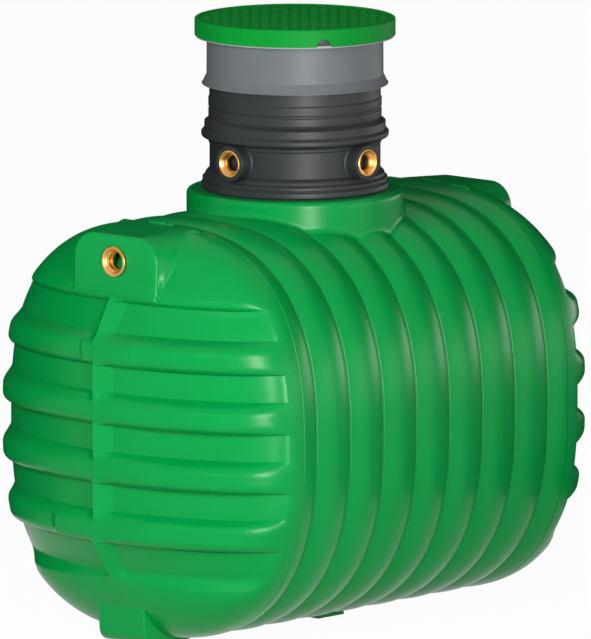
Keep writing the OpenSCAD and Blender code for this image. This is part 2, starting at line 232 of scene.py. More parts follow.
def rounded(corners, steps=5, closed=True):
    """A profile of (radius, height, rounding) corners, with each corner rounded."""
    out = []
    count = len(corners)
    for i, (r, z, rounding) in enumerate(corners):
        here = np.array([r, z])
        if rounding == 0 or (not closed and i in (0, count - 1)):
            out.append(here)
            continue
        before = np.array(corners[i - 1][:2]) - here
        after = np.array(corners[(i + 1) % count][:2]) - here
        near, far = np.linalg.norm(before), np.linalg.norm(after)
        before, after = before / near, after / far
        angle = math.acos(float(np.clip(before @ after, -1, 1)))
        cut = min(rounding / max(math.tan(angle / 2), 1e-3), 0.48 * near, 0.48 * far)
        first, last = here + before * cut, here + after * cut
        for k in range(steps + 1):
            t = k / steps
            out.append((1 - t) ** 2 * first + 2 * t * (1 - t) * here + t * t * last)
    return np.array(out)


def turned(profile, angles=128, place=Matrix.Identity(4)):
    """Points of a profile turned about the z axis, as rows of the profile's points."""
    turn = np.linspace(0, 2 * math.pi, angles, endpoint=False)
    r, z = profile[:, 0][:, None], profile[:, 1][:, None]
    points = np.stack([r * np.cos(turn), r * np.sin(turn), z + 0 * turn], axis=-1).reshape(-1, 3)
    matrix = np.array(place)
    return points @ matrix[:3, :3].T + matrix[:3, 3]


def lathe(name, corners, material, nodes=(), angles=128, place=Matrix.Identity(4), steps=5):
    profile = rounded(corners, steps)
    points = turned(profile, angles, place)
    faces = grid_faces(len(profile), angles, wrap_rows=True, wrap_columns=True)
    return add_piece(name, points, faces, material, nodes, sharp=50)


def at_axis(height=0.0):
    return Matrix.Translation((0, 0, AXIS_Z + height))


# ---------- materials ----------

def fresh_nodes(owner):
    owner.use_nodes = True
    owner.node_tree.nodes.clear()
    return owner.node_tree.nodes, owner.node_tree.links


def node_material(name):
    material = bpy.data.materials.new(name)
    nodes, links = fresh_nodes(material)
    shader = nodes.new("ShaderNodeBsdfPrincipled")
    output = nodes.new("ShaderNodeOutputMaterial")
    links.new(shader.outputs[0], output.inputs[0])
    return material, nodes, links, shader


def noise(nodes, links, where, scale, detail):
    texture = nodes.new("ShaderNodeTexNoise")
    texture.inputs["Scale"].default_value = scale
    texture.inputs["Detail"].default_value = detail
    links.new(where.outputs["Object"], texture.inputs["Vector"])
    return texture.outputs["Fac"]


def patchy_colour(nodes, links, shader, pattern, span, shades):
    """Blends two shades over a span of the pattern."""
    colours = nodes.new("ShaderNodeValToRGB")
    for element, position, shade in zip(colours.color_ramp.elements, span, shades):
        element.position = position
        element.color = shade
    links.new(pattern, colours.inputs["Fac"])
    links.new(colours.outputs["Color"], shader.inputs["Base Color"])


def uneven_gloss(nodes, links, shader, pattern, roughness, rough_range):
    gloss = nodes.new("ShaderNodeMapRange")
    gloss.inputs["To Min"].default_value = roughness
    gloss.inputs["To Max"].default_value = roughness + rough_range
    links.new(pattern, gloss.inputs["Value"])
    links.new(gloss.outputs["Result"], shader.inputs["Roughness"])


def fine_bump(nodes, links, shader, pattern, strength, depth):
    bump = nodes.new("ShaderNodeBump")
    bump.inputs["Strength"].default_value = strength
    bump.inputs["Distance"].default_value = depth
    links.new(pattern, bump.inputs["Height"])
    links.new(bump.outputs["Normal"], shader.inputs["Normal"])


def plastic(name, base, paler, roughness, rough_range, grain_scale, grain_depth, shine):
    """Moulded plastic: colour that varies in soft patches, fine grain and uneven gloss."""
    material, nodes, links, shader = node_material(name)
    where = nodes.new("ShaderNodeTexCoord")
    patches = noise(nodes, links, where, 2.5, 3)
    patchy_colour(nodes, links, shader, patches, (0.35, 0.7), (base, paler))
    cloudy = noise(nodes, links, where, 14, 4)
    uneven_gloss(nodes, links, shader, cloudy, roughness, rough_range)
    grain = noise(nodes, links, where, grain_scale, 2)
    fine_bump(nodes, links, shader, grain, 0.25, grain_depth)
    shader.inputs["Specular IOR Level"].default_value = shine
    return material


def metal(name, base, paler, roughness):
    """Turned metal: faint tarnish in its colour and gloss, and very fine marks."""
    material, nodes, links, shader = node_material(name)
    where = nodes.new("ShaderNodeTexCoord")
    tarnish = noise(nodes, links, where, 9, 2)
    patchy_colour(nodes, links, shader, tarnish, (0.3, 0.75), (base, paler))
    uneven_gloss(nodes, links, shader, tarnish, roughness, 0.12)
    marks = noise(nodes, links, where, 900, 2)
    fine_bump(nodes, links, shader, marks, 0.08, 0.0001)
    shader.inputs["Metallic"].default_value = 1.0
    return material


GREEN = plastic("moulded_green", linear(0, 148, 66), linear(1, 153, 71),
                0.26, 0.06, 420, 0.0003, shine=0.14)
COVER_GREEN = plastic("cover_green", linear(8, 142, 48), linear(14, 150, 54),
                      0.45, 0.10, 500, 0.0003, shine=0.05)
BLACK = plastic("black_moulding", linear(40, 43, 45), linear(48, 51, 53),
                0.44, 0.06, 600, 0.0003, shine=0.24)
GREY = plastic("grey_moulding", linear(102, 107, 110), linear(109, 114, 117),
               0.46, 0.06, 500, 0.0003, shine=0.24)
# pale grey of the thin ring under the lid: a painted highlight along the lid's lower edge
PALE_HIGHLIGHT_GREY = plastic("pale_rim_highlight", linear(156, 158, 158), linear(166, 168, 168),
               0.5, 0.1, 500, 0.0002, shine=0.3)
BRASS = metal("turned_brass", linear(206, 148, 74), linear(230, 180, 108), 0.24)


# ---------- barrel ----------

def hoop_drop(x):
    """How far the hoops lie under their crests: scallops that meet in a fine notch."""
    along = x / HOOP_PITCH + (HOOPS - 1) / 2
    out = 2 * (along - np.floor(along)) - 1
    away = (1 - np.abs(out)) * HOOP_PITCH / 2
    softened = np.sqrt(away * away + HOOP_SOFTNESS ** 2)
    scallop = -HOOP_RELIEF * (1 - np.minimum(1, 2 * softened / HOOP_PITCH)) ** 2
    from_rim = RIM_X - np.abs(x)
    nearest = np.minimum(away, from_rim)
    return scallop - GROOVE_DEPTH * np.exp(-(nearest / GROOVE_HALF) ** 2)


def section_width(z):
    share = np.clip(np.abs(z) / HALF_Z, 0, 1)
    return HALF_Y * (1 - share ** SECTION_POWER) ** (1 / SECTION_POWER)


def crown_height(x, y):
    drop = hoop_drop(x)
    share = np.clip(np.abs(y) / (HALF_Y + drop), 0, 1)
    return (HALF_Z + drop) * (1 - share ** SECTION_POWER) ** (1 / SECTION_POWER)


def make_barrel():
    near = [0, 0.0009, 0.0018, 0.0028, 0.0042, 0.006, 0.009]
    from_groove = np.array(near + [0.013, 0.020, 0.030, 0.044, 0.060, 0.076])
    from_rim = RIM_X - np.array(near)
    places = list(from_rim) + list(-from_rim)
    for groove in RIM_X - HOOP_PITCH / 2 - HOOP_PITCH * np.arange(HOOPS):
        places += list(groove + from_groove) + list(groove - from_groove)
    crests = RIM_X - HOOP_PITCH * np.arange(HOOPS + 1)
    xs = np.unique(np.round(np.concatenate([places, crests]), 5))
    turn = np.linspace(0, 2 * math.pi, ROUND_STEPS, endpoint=False)
    x, angle = np.meshgrid(xs, turn, indexing="ij")
    drop = hoop_drop(x)
    a, b = HALF_Y + drop, HALF_Z + drop
    radius = (np.abs(np.cos(angle) / a) ** SECTION_POWER
              + np.abs(np.sin(angle) / b) ** SECTION_POWER) ** (-1 / SECTION_POWER)
    points = np.stack([x, radius * np.cos(angle), radius * np.sin(angle)], axis=-1).reshape(-1, 3)
    faces = grid_faces(len(xs), len(turn), wrap_columns=True)
    middle = points[faces].mean(axis=1)
    from_axis = np.hypot(middle[:, 0], middle[:, 1])
    inside = (middle[:, 2] > 0) & (from_axis < MANHOLE_RADIUS)
    edge = np.intersect1d(faces[inside], faces[~inside])
    faces = faces[~inside]
    away = np.hypot(points[edge, 0], points[edge, 1])
    points[edge, 0] *= MANHOLE_RADIUS / away
    points[edge, 1] *= MANHOLE_RADIUS / away
    points[edge, 2] = crown_height(points[edge, 0], points[edge, 1])
    points[:, 2] += AXIS_Z
    barrel = add_piece("moulded_barrel", points, faces, GREEN, (
        "barrel_crown_front", "barrel_crown", "barrel_crown_rear", "barrel_shoulder_left",
        "barrel_shoulder_right", "barrel_side_left", "barrel_side_right",
        "barrel_haunch_left", "barrel_haunch_right", "barrel_belly"))
    return thicken(outward(barrel, (0, 0, AXIS_Z)), WALL)


# ---------- ends ----------

def lean(z):
    """How far the end stands out past the rim, before its caps round it off."""
    above = UPPER_LEAN * np.maximum(0, z - 1.5 * RIB_PITCH - RIB_CREST)
    below = LOWER_LEAN * np.maximum(0, -z - 1.5 * RIB_PITCH - RIB_EDGE)
    return END_REACH - RIM_X - RIDGE - np.where(z > 0, above, below)


def cap_share(z, edge, q, r):
    """1 up to a cap's edge, then rounded down to 0 at the top or the bottom."""
    t = np.clip((np.abs(z) - edge) / (HALF_Z - edge), 0, 1)
    return (1 - t ** q) ** r


def bulge(z):
    upper = lean(np.minimum(z, CAP_EDGE)) * cap_share(z, CAP_EDGE, 0.9, 0.47)
    lower = lean(np.maximum(z, -LOW_CAP_EDGE)) * cap_share(z, LOW_CAP_EDGE, 1.3, 0.42)
    return np.where(z > 0, upper, lower)


def plan_power(z):
    """Squareness of the end seen from above, a little more in the caps."""
    caps = np.where(z > 0, 0.15, 0.25)
    edge = np.where(z > 0, CAP_EDGE, LOW_CAP_EDGE)
    return PLAN_POWER + caps * smooth((np.abs(z) - edge + 0.03) / 0.06)


def rounded_edge(z, edge):
    """0 below an edge, then up to 1 along a quarter round."""
    t = np.clip((z - edge) / EDGE_ROUND, 0, 1)
    return np.sqrt(1 - (1 - t) ** 2)


def valley(z):
    """1 in a valley, 0 on a rib or a cap."""
    out = np.ones_like(z)
    for middle in RIB_MIDDLES:
        over_edge = rounded_edge(z, middle - RIB_EDGE)
        under_flank = 1 - (1 - np.clip((middle + RIB_FOOT - z) / FLANK_ROUND, 0, 1)) ** 2
        out = np.minimum(out, 1 - over_edge * under_flank)
    out = np.minimum(out, 1 - rounded_edge(z, CAP_EDGE))
    return np.minimum(out, 1 - smooth((-LOW_CAP_VALLEY - z) / (LOW_CAP_EDGE - LOW_CAP_VALLEY)))


def pads(y, z):
    """Raised lengths of the highest and the lowest rib, sharp at one end and soft at the other."""
    out = np.zeros_like(y)
    for middle, sharp_end, soft_end in PAD_LENGTHS:
        along = smooth((sharp_end + 0.006 - y) / 0.012) * smooth((y - soft_end + 0.02) / 0.055)
        lower = smooth((z - middle + RIB_EDGE + 0.004) / 0.006)
        upper = 1 - smooth((z - middle - RIB_CREST + 0.004) / 0.02)
        out = np.maximum(out, along * (lower * upper))
    return out


def end_skin(z, s, sunk):
    """Points of an end's skin, sunk inward, at heights z and at shares s of the half width."""
    z, s = np.meshgrid(z, s, indexing="ij")
    width = section_width(z) * (HALF_Y - sunk) / HALF_Y
    y = s * width
    share = np.clip(np.abs(s), 0, 1)
    web = np.clip(np.abs(y) / np.where(y > 0, WEB_FAR, WEB_FOOT), 0, 1)
    crest = bulge(z) * (1 - share ** plan_power(z)) ** (1 / plan_power(z))
    low_ground = valley(z) * web * smooth((crest - FADE_END) / (FADE_START - FADE_END))
    power = plan_power(z) - VALLEY_LOSS * low_ground
    ridge = RIDGE * (1 - smooth(np.abs(y) / RIDGE_HALF))
    ridge *= smooth((CAP_EDGE + 0.01 - z) / 0.02) * smooth((z + LOW_CAP_EDGE + 0.01) / 0.02)
    depth = bulge(z) - RIB_RELIEF * low_ground + PAD_RELIEF * (pads(y, z) - pads(0 * y, z))
    depth = depth + ridge
    x = RIM_X + np.maximum(0, depth - sunk) * (1 - share ** power) ** (1 / power)
    return np.stack([x, y, z * (HALF_Z - sunk) / HALF_Z], axis=-1)


def spaced(values, least):
    """The values without those that follow another too closely; the last one stays."""
    kept = np.concatenate([[True], np.diff(values) > least])
    kept[-1] = True
    return values[kept]


def end_heights():
    """Rows of an end's mesh, closer together at the ribs' edges and in the caps."""
    heights = [np.arange(-LOW_CAP_EDGE, CAP_EDGE, 0.0055)]
    for foot in [m + RIB_FOOT for m in RIB_MIDDLES]:
        heights.append(foot + np.array([-0.003, -0.0015, 0, 0.0015]))
    for edge in [m - RIB_EDGE for m in RIB_MIDDLES] + [CAP_EDGE]:
        over = np.array([-0.003, -0.001, 0, 0.0004, 0.001, 0.002, 0.0035, 0.0055, 0.008])
        heights.append(edge + over)
    upper = 1 - (1 - np.linspace(0, 1, 34)) ** 2.0
    heights.append(CAP_EDGE + (HALF_Z - CAP_EDGE) * upper)
    heights.append(-LOW_CAP_EDGE - (HALF_Z - LOW_CAP_EDGE) * upper)
    return spaced(np.sort(np.concatenate(heights)), 0.0003)


def end_shares():
    """Columns of an end's mesh, closer together at the web, the pads' ends and the rim."""
    bend = np.sin(np.linspace(0, math.pi / 2, 40))
    web = np.array([0.0025, 0.006, 0.012, 0.022, 0.034, 0.046, 0.058, 0.062, 0.066, 0.08]) / HALF_Y
    pad_ends = np.array([0.055, 0.060, 0.065, 0.070, 0.075, 0.2, 0.205, 0.21, 0.215, 0.22]) / HALF_Y
    half = spaced(np.unique(np.round(np.concatenate([bend, web, pad_ends]), 5)), 0.0015)
    return np.concatenate([-half[:0:-1], half])


def make_end(name, node, facing):
    z, s = end_heights(), end_shares()
    outer = end_skin(z, s, 0.0)
    inner = end_skin(z, s, WALL)
    rows, columns = len(z), len(s)
    points = np.concatenate([outer.reshape(-1, 3), inner.reshape(-1, 3)])
    points[:, 0] *= facing
    points[:, 2] += AXIS_Z
    count = rows * columns
    skin = grid_faces(rows, columns)
    loop = np.concatenate([
        np.arange(columns - 1),
        np.arange(rows - 1) * columns + columns - 1,
        (rows - 1) * columns + np.arange(columns - 1, 0, -1),
        np.arange(rows - 1, 0, -1) * columns,
    ])
    following = np.roll(loop, -1)
    rim = np.stack([loop, following, following + count, loop + count], axis=-1)
    faces = np.concatenate([skin, skin[:, ::-1] + count, rim[:, ::-1]])
    return add_piece(name, points, faces, GREEN, (node,), sharp=38)


def cap_x(y, z):
    """Where a cap's skin lies along the barrel."""
    share = np.clip(np.abs(y) / np.maximum(section_width(z), 1e-6), 0, 1)
    power = plan_power(z)
    return RIM_X + bulge(z) * (1 - share ** power) ** (1 / power)


# ---------- bosses ----------

def arch(inset):
    """A boss's outline, sunk inward, as points (y, z) all the way round."""
    half, top, foot = BOSS_HALF - inset, HALF_Z - inset, BOSS_FOOT
    r = BOSS_ROUND - inset
    quarter = np.linspace(0, math.pi / 2, 15)
    side = np.linspace(0, 1, 16)[:-1]
    left = [(-half, foot + (top - r - foot) * t) for t in side]
    left += [(-half + r - r * math.cos(a), top - r + r * math.sin(a)) for a in quarter]
    across = [(-half + r + 2 * (half - r) * t, top) for t in np.linspace(0, 1, 12)[1:-1]]
    right = [(-y, z) for y, z in reversed(left)]
    along_foot = [(half - 2 * half * t, foot) for t in np.linspace(0, 1, 20)[1:-1]]
    return np.array(left + across + right + along_foot)


def over_cap(place, softness):
    """A boss's face, which gives way softly to the cap where the cap stands further out."""
    cap = cap_x(place[:, 0], place[:, 1]) - 0.004
    apart = BOSS_REACH - cap
    return (BOSS_REACH + cap + np.sqrt(apart ** 2 + (BOSS_BLEND * softness) ** 2)) / 2


def make_boss(name, node, facing):
    base = arch(0)
    wall_foot = cap_x(base[:, 0], np.minimum(base[:, 1], HALF_Z))
    rise = BOSS_REACH - BOSS_EDGE - wall_foot
    flare = np.clip(rise * 0.45, 0.0015, 0.026)
    centre = np.array([0, (HALF_Z + BOSS_FOOT) / 2])
    tangent = np.roll(base, -1, axis=0) - np.roll(base, 1, axis=0)
    normal = np.stack([-tangent[:, 1], tangent[:, 0]], axis=-1)
    normal /= np.linalg.norm(normal, axis=1)[:, None]
    normal *= np.sign(((base - centre) * normal).sum(axis=1))[:, None]
    outside = base + normal * flare[:, None]
    outside[:, 1] = np.minimum(outside[:, 1], HALF_Z - 0.0005)
    rings = []
    skin_x = cap_x(outside[:, 0], outside[:, 1]) - 0.0015
    for t in np.linspace(0, 1, 7):
        place = (1 - t) ** 2 * outside + (1 - (1 - t) ** 2) * base
        x = (1 - t) ** 2 * skin_x + 2 * t * (1 - t) * wall_foot + t * t * (wall_foot + flare)
        rings.append(np.column_stack([np.minimum(x, BOSS_REACH - 0.0005), place]))
    top_of_wall = np.maximum(rings[-1][:, 0], BOSS_REACH - BOSS_EDGE)
    drafted = arch(BOSS_DRAFT)
    start = rings[-1].copy()
    for t in np.linspace(0, 1, 6)[1:]:
        place = (1 - t) * base + t * drafted
        rings.append(np.column_stack([(1 - t) * start[:, 0] + t * top_of_wall, place]))
    inner = arch(BOSS_DRAFT + BOSS_EDGE)
    inner[:, 1] = np.where(inner[:, 1] <= BOSS_FOOT + 1e-6, drafted[:, 1], inner[:, 1])
    for a in np.linspace(0, math.pi / 2, 7)[1:]:
        place = drafted + (inner - drafted) * (1 - math.cos(a))
        face = over_cap(place, math.sin(a))
        rings.append(np.column_stack([top_of_wall + (face - top_of_wall) * math.sin(a), place]))
    hole = BOSS_BUSH_RADIUS - 0.004
    spoke = inner - np.array([0, BOSS_BUSH_Z])
    on_hole = np.array([0, BOSS_BUSH_Z]) + spoke / np.linalg.norm(spoke, axis=1)[:, None] * hole
    for t in np.linspace(0, 1, 9)[1:]:
        place = (1 - t) * inner + t * on_hole
        rings.append(np.column_stack([over_cap(place, 1), place]))
    points = np.concatenate(rings)
    points[:, 0] *= facing
    points[:, 2] += AXIS_Z
    faces = grid_faces(len(rings), len(base), wrap_columns=True)
    boss = add_piece(name, points, faces, GREEN, (node,), sharp=60)
    outward(boss, (0, 0, AXIS_Z))
    return thicken(boss, THIN_WALL)


# ---------- feet ----------

def make_foot(name, node, facing):
    """A foot with a round toe, a front that slants out and sides that splay to the back."""
    half, toe, flare, slant = 0.115, 0.050, 0.055, 0.085
    height, corner = 0.215, 0.010
    back = RIM_X - 0.025
    quarter = np.linspace(0, math.pi / 2, 7)
    toe_rows = toe * (1 - np.cos(np.linspace(0, math.pi / 2, 12)))
    zs = np.concatenate([toe_rows, np.linspace(toe, height, 14)[1:]])
    rows = []
    for z in zs:
        inset = toe - math.sqrt(max(0.0, toe ** 2 - (toe - min(z, toe)) ** 2))
        front = FOOT_REACH - inset + slant * max(0.0, z - toe)
        splay = flare * z / height
        side = [(x, -half - splay * (front - corner - x) / (front - corner - back))
                for x in np.linspace(back, front - corner, 8)[:-1]]
        side += [(front - corner + corner * math.sin(a), -half + corner - corner * math.cos(a))
                 for a in quarter]
        face = [(front, y) for y in np.linspace(-half + corner, half - corner, 12)[1:-1]]
        rows.append(side + face + [(x, -y) for x, y in reversed(side)])
    outline = np.array(rows)
    count = outline.shape[1]
    z = np.repeat(zs[:, None], count, axis=1)
    points = np.dstack([outline[..., 0] * facing, outline[..., 1], z + FLOOR_Z]).reshape(-1, 3)
    faces = [list(f) for f in grid_faces(len(zs), count)]
    faces.append(list(range(count)))
    faces.append(list(range(len(points) - count, len(points)))[::-1])
    faces += [[i * count, (i + 1) * count, (i + 2) * count - 1, (i + 1) * count - 1]
              for i in range(len(zs) - 1)]
    return add_piece(name, points, faces, GREEN, (node,), sharp=40)


# ---------- neck ----------

def make_neck():
    """The round neck, from its lip down to a foot that flares onto the hooped crown."""
    turn = np.linspace(0, 2 * math.pi, ROUND_STEPS, endpoint=False)
    cos, sin = np.cos(turn), np.sin(turn)
    lip, edge, up, out = 0.302, 0.018, 0.020, 0.018
    joint = crown_height(NECK_RADIUS * cos, NECK_RADIUS * sin)
    far = NECK_RADIUS + out
    landing = crown_height(far * cos, far * sin) - 0.001
    rows = [(lip, NECK_TOP - 0.012), (lip, NECK_TOP - 0.003), (lip + 0.003, NECK_TOP)]
    rows += [(r, NECK_TOP) for r in np.linspace(lip + 0.02, NECK_RADIUS - edge, 5)]
    rows += [(NECK_RADIUS - edge + edge * math.sin(a), NECK_TOP - edge + edge * math.cos(a))
             for a in np.linspace(0, math.pi / 2, 8)[1:]]
    rings = [np.column_stack([r * cos, r * sin, np.full_like(cos, z)]) for r, z in rows]
    top = NECK_TOP - edge
    for t in np.linspace(0, 1, 9)[1:]:
        z = (1 - t) * top + t * (joint + up)
        rings.append(np.column_stack([NECK_RADIUS * cos, NECK_RADIUS * sin, z]))
    for t in np.linspace(0, 1, 9)[1:]:
        r = NECK_RADIUS + out * t * t
        z = (1 - t) ** 2 * (joint + up) + 2 * t * (1 - t) * joint + t * t * landing
        rings.append(np.column_stack([r * cos, r * sin, z]))
    points = np.concatenate(rings)
    points[:, 2] += AXIS_Z
    faces = grid_faces(len(rings), len(turn), wrap_columns=True)
    neck = add_piece("moulded_neck", points, faces, GREEN, ("neck",))
    return thicken(outward(neck, (0, 0, AXIS_Z)), THIN_WALL)


# ---------- shaft ----------

def make_shaft():
    r = SHAFT_RADIUS
    inner = r - SHAFT_WALL
    lathe("shaft_base_rings", [
        (r, NECK_TOP, 0), (0.342, NECK_TOP, 0.003), (0.346, NECK_TOP + 0.008, 0.004),
        (0.345, NECK_TOP + 0.024, 0.003), (0.339, NECK_TOP + 0.029, 0.002),
        (0.341, NECK_TOP + 0.034, 0.003), (0.341, NECK_TOP + 0.044, 0.004),
        (0.332, NECK_TOP + 0.052, 0.002), (0.329, NECK_TOP + 0.062, 0.003),
        (0.321, NECK_TOP + 0.070, 0.003), (r + 0.0005, NECK_TOP + 0.073, 0),
    ], BLACK, ("shaft_base",), 192, at_axis())
    lathe("ringed_shaft", [
        (inner, NECK_TOP, 0), (r, NECK_TOP, 0), (r, 0.984, 0.002), (0.3185, 0.988, 0.0015),
        (0.3195, 1.000, 0.004), (0.342, 1.009, 0.004), (0.3455, 1.016, 0.003), (0.3455, 1.028, 0.003),
        (0.335, 1.0395, 0.002), (0.3345, 1.044, 0.003), (0.334, 1.066, 0.004), (0.322, 1.075, 0.003),
        (0.316, 1.079, 0.0015), (0.319, 1.084, 0.002), (0.3195, 1.110, 0.003), (0.316, 1.1145, 0.0015),
        (0.316, 1.119, 0.0015), (0.3195, 1.123, 0.002), (0.3195, 1.152, 0.003), (0.316, 1.158, 0.002),
        (0.316, 1.190, 0.002), (r, COLLAR_FOOT, 0), (r, COLLAR_FOOT + 0.030, 0),
        (inner, COLLAR_FOOT + 0.030, 0),
    ], BLACK, ("shaft",), 192, at_axis())
    top = COVER_TOP - 0.030
    lathe("grey_collar", [
        (r - 0.010, COLLAR_FOOT + 0.031, 0), (r, COLLAR_FOOT + 0.031, 0), (r, COLLAR_FOOT, 0),
        (0.341, COLLAR_FOOT, 0.001), (0.3435, COLLAR_FOOT + 0.002, 0.001),
        (0.3435, COLLAR_FOOT + 0.005, 0.001), (0.3400, COLLAR_FOOT + 0.009, 0.001),
        (0.326, COLLAR_FOOT + 0.038, 0.008),
        (0.325, top - 0.012, 0.002), (0.325, top, 0.002), (r - 0.010, top, 0.002),
    ], GREY, ("collar",), 192, at_axis())


def radial(angle, height):
    """Places a turned piece with its axis pointing out of the shaft."""
    return (Matrix.Rotation(angle, 4, "Z") @ Matrix.Translation((0, 0, AXIS_Z + height))
            @ Matrix.Rotation(math.pi / 2, 4, "Y"))


def make_socket(name, node, angle):
    turn = np.linspace(0, 2 * math.pi, 96, endpoint=False)
    radius, flare, edge = SOCKET_RADIUS, 0.012, 0.004
    bore = SOCKET_BUSH_RADIUS

    def shaft_skin(r):
        return np.sqrt(SHAFT_RADIUS ** 2 - (r * np.cos(turn)) ** 2)

    foot = shaft_skin(radius)
    rings = []
    for t in np.linspace(0, 1, 6):
        r = radius + flare * (1 - t) ** 2
        out = (1 - t) ** 2 * (shaft_skin(radius + flare) - 0.0015) + 2 * t * (1 - t) * foot
        out = out + t * t * (foot + flare * 0.6)
        rings.append((r, out))
    shoulder = SOCKET_REACH - edge
    for t in (0.35, 0.7, 1.0):
        rings.append((radius, (1 - t) * (foot + flare * 0.6) + t * shoulder))
    for a in np.linspace(0, math.pi / 2, 5)[1:]:
        level = np.full_like(turn, shoulder + edge * math.sin(a))
        rings.append((radius - edge + edge * math.cos(a), level))
    step = 0.012
    rings.append((bore + 0.0005, np.full_like(turn, SOCKET_REACH)))
    rings.append((bore + 0.0005, np.full_like(turn, SOCKET_REACH - step)))
    rings.append((bore - edge, np.full_like(turn, SOCKET_REACH - step)))
    rings.append((bore - edge, foot - step))
    points = np.concatenate([
        np.column_stack([out, r * np.cos(turn), r * np.sin(turn)]) for r, out in rings])
    matrix = np.array(Matrix.Rotation(angle, 3, "Z"))
    points = points @ matrix.T
    points[:, 2] += AXIS_Z + SOCKET_Z
    faces = grid_faces(len(rings), len(turn), wrap_rows=True, wrap_columns=True)
    return add_piece(name, points, faces, BLACK, (node,), sharp=50)


# ---------- bushes ----------

def make_bush(name, node, bore, radius, length, flange, place):
    """A brass bush: a chamfered flange, a stepped mouth and a threaded bore."""
    corners = [
        (bore + 0.008, 0, 0.001), (bore + 0.008, length - flange, 0),
        (radius, length - flange, 0.0008), (radius, length - 0.003, 0.002),
        (radius - 0.003, length, 0.001), (bore + 0.009, length, 0.001),
        (bore + 0.007, length - 0.003, 0.0006), (bore + 0.004, length - 0.0035, 0.0006),
        (bore + 0.0015, length - 0.007, 0.0006),
    ]
    threads = 6
    pitch = 0.0026
    for k in range(threads):
        start = length - 0.008 - k * pitch
        corners += [(bore + 0.0012, start, 0), (bore - 0.0006, start - pitch / 2, 0)]
    corners += [(bore, 0.0145, 0), (bore - 0.006, 0.014, 0.0006), (bore - 0.006, 0, 0.0006)]
    return lathe(name, corners, BRASS, (node,), 96, place, steps=3)


def make_bushes():
    turned_round = Matrix.Rotation(math.pi, 4, "Z")
    rear = (Matrix.Translation((BUSH_REACH - BOSS_BUSH_LENGTH, 0, AXIS_Z + BOSS_BUSH_Z))
            @ Matrix.Rotation(math.pi / 2, 4, "Y"))
    for name, node, place in (("brass_rear_boss", "rear_boss_bush", rear),
                              ("brass_front_boss", "front_boss_bush", turned_round @ rear)):
        make_bush(name, node, BOSS_BUSH_BORE, BOSS_BUSH_RADIUS, BOSS_BUSH_LENGTH, 0.010, place)
    inset = Matrix.Translation((0, 0, SOCKET_REACH - SOCKET_BUSH_LENGTH))
    for name, node, angle in (("brass_front_branch", "front_socket_bush", FRONT_BRANCH),
                              ("brass_side_branch", "side_socket_bush", SIDE_BRANCH)):
        make_bush(name, node, SOCKET_BUSH_BORE, SOCKET_BUSH_RADIUS, SOCKET_BUSH_LENGTH,
                  SOCKET_BUSH_LENGTH, radial(angle, SOCKET_Z) @ inset)


# ---------- cover ----------

NOTCH_ANGLE = math.radians(-121)
NOTCH_RADIUS = 0.028
TREAD_ANGLE = math.radians(-47.9)
TREAD_COLUMN = 0.0362
TREAD_STEP = 0.068
TREAD_HEIGHT = 0.0036


def make_cover():
    """The lid: a top sunk for its treads, a rounded rim with a notch, and a hollow underside."""
    even = np.linspace(-math.pi, math.pi, 160, endpoint=False)
    reach = NOTCH_RADIUS / COVER_RADIUS
    near = reach * np.cos(np.linspace(0, math.pi, 25))
    outside = even[np.abs(even) > reach * 1.08]
    turn = np.sort(np.concatenate([outside, near, [-reach * 1.03, reach * 1.03]]))
    notch = np.sqrt(np.maximum(0, 1 - (turn / reach) ** 2)) * NOTCH_RADIUS
    skirt, underside, edge = 0.014, -0.030, 0.006
    foot = COVER_FOOT - COVER_TOP
    rows = [(r, -TREAD_HEIGHT, 0) for r in (0.0, 0.10, 0.20, 0.30, COVER_RADIUS - 0.019)]
    rows += [(COVER_RADIUS - 0.016, 0, 0), (COVER_RADIUS - edge, 0, 0)]
    rows += [(COVER_RADIUS - edge + edge * math.sin(a), -edge + edge * math.cos(a), 0)
             for a in np.linspace(0, math.pi / 2, 6)[1:]]
    rows += [(COVER_RADIUS, -edge + (foot + 0.002 + edge) * t, 0) for t in (0.15, 0.3)]
    rows += [(COVER_RADIUS, foot + 0.002, 1), (COVER_RADIUS - 0.002, foot, 1),
             (COVER_RADIUS - skirt, foot, 1), (COVER_RADIUS - skirt, underside, 0), (0.0, underside, 0)]
    rings = []
    for r, z, at_foot in rows:
        height = z + at_foot * notch + AXIS_Z + COVER_TOP
        around = turn + NOTCH_ANGLE
        rings.append(np.column_stack([r * np.cos(around), r * np.sin(around), height]))
    points = np.concatenate(rings)
    faces = grid_faces(len(rings), len(turn), wrap_columns=True)
    add_piece("ribbed_lid", points, faces, COVER_GREEN, ("cover",), sharp=40)


def make_treads():
    """Staggered rows of small raised ripples over the lid."""
    wide, long = TREAD_COLUMN * 0.88, TREAD_STEP * 0.60
    side = 7
    across = np.linspace(-1, 1, side)
    u, v = np.meshgrid(across, across, indexing="ij")
    dome = (1 - u ** 6) * (1 - np.abs(v) ** 5)
    faces_one = grid_faces(side, side)
    points, faces, count = [], [], 0
    turn = np.array([[math.cos(TREAD_ANGLE), -math.sin(TREAD_ANGLE)],
                     [math.sin(TREAD_ANGLE), math.cos(TREAD_ANGLE)]])
    limit = COVER_RADIUS - 0.020
    steps = int(COVER_RADIUS / TREAD_COLUMN) + 1
    for i in range(-steps, steps + 1):
        for j in range(-steps, steps + 1):
            x = i * TREAD_COLUMN
            y = (j + (0.5 if i % 2 else 0.0)) * TREAD_STEP
            if math.hypot(abs(x) + wide / 2, abs(y) + long / 3) > limit:
                continue
            local = np.stack([x + u * wide / 2, y + v * long / 2], axis=-1).reshape(-1, 2) @ turn.T
            z = (dome.reshape(-1, 1) - 1) * (TREAD_HEIGHT + 0.0002) + AXIS_Z + COVER_TOP
            points.append(np.hstack([local, z]))
            faces.append(faces_one + count)
            count += side * side
    add_piece("lid_treads", np.concatenate(points), np.concatenate(faces), COVER_GREEN)


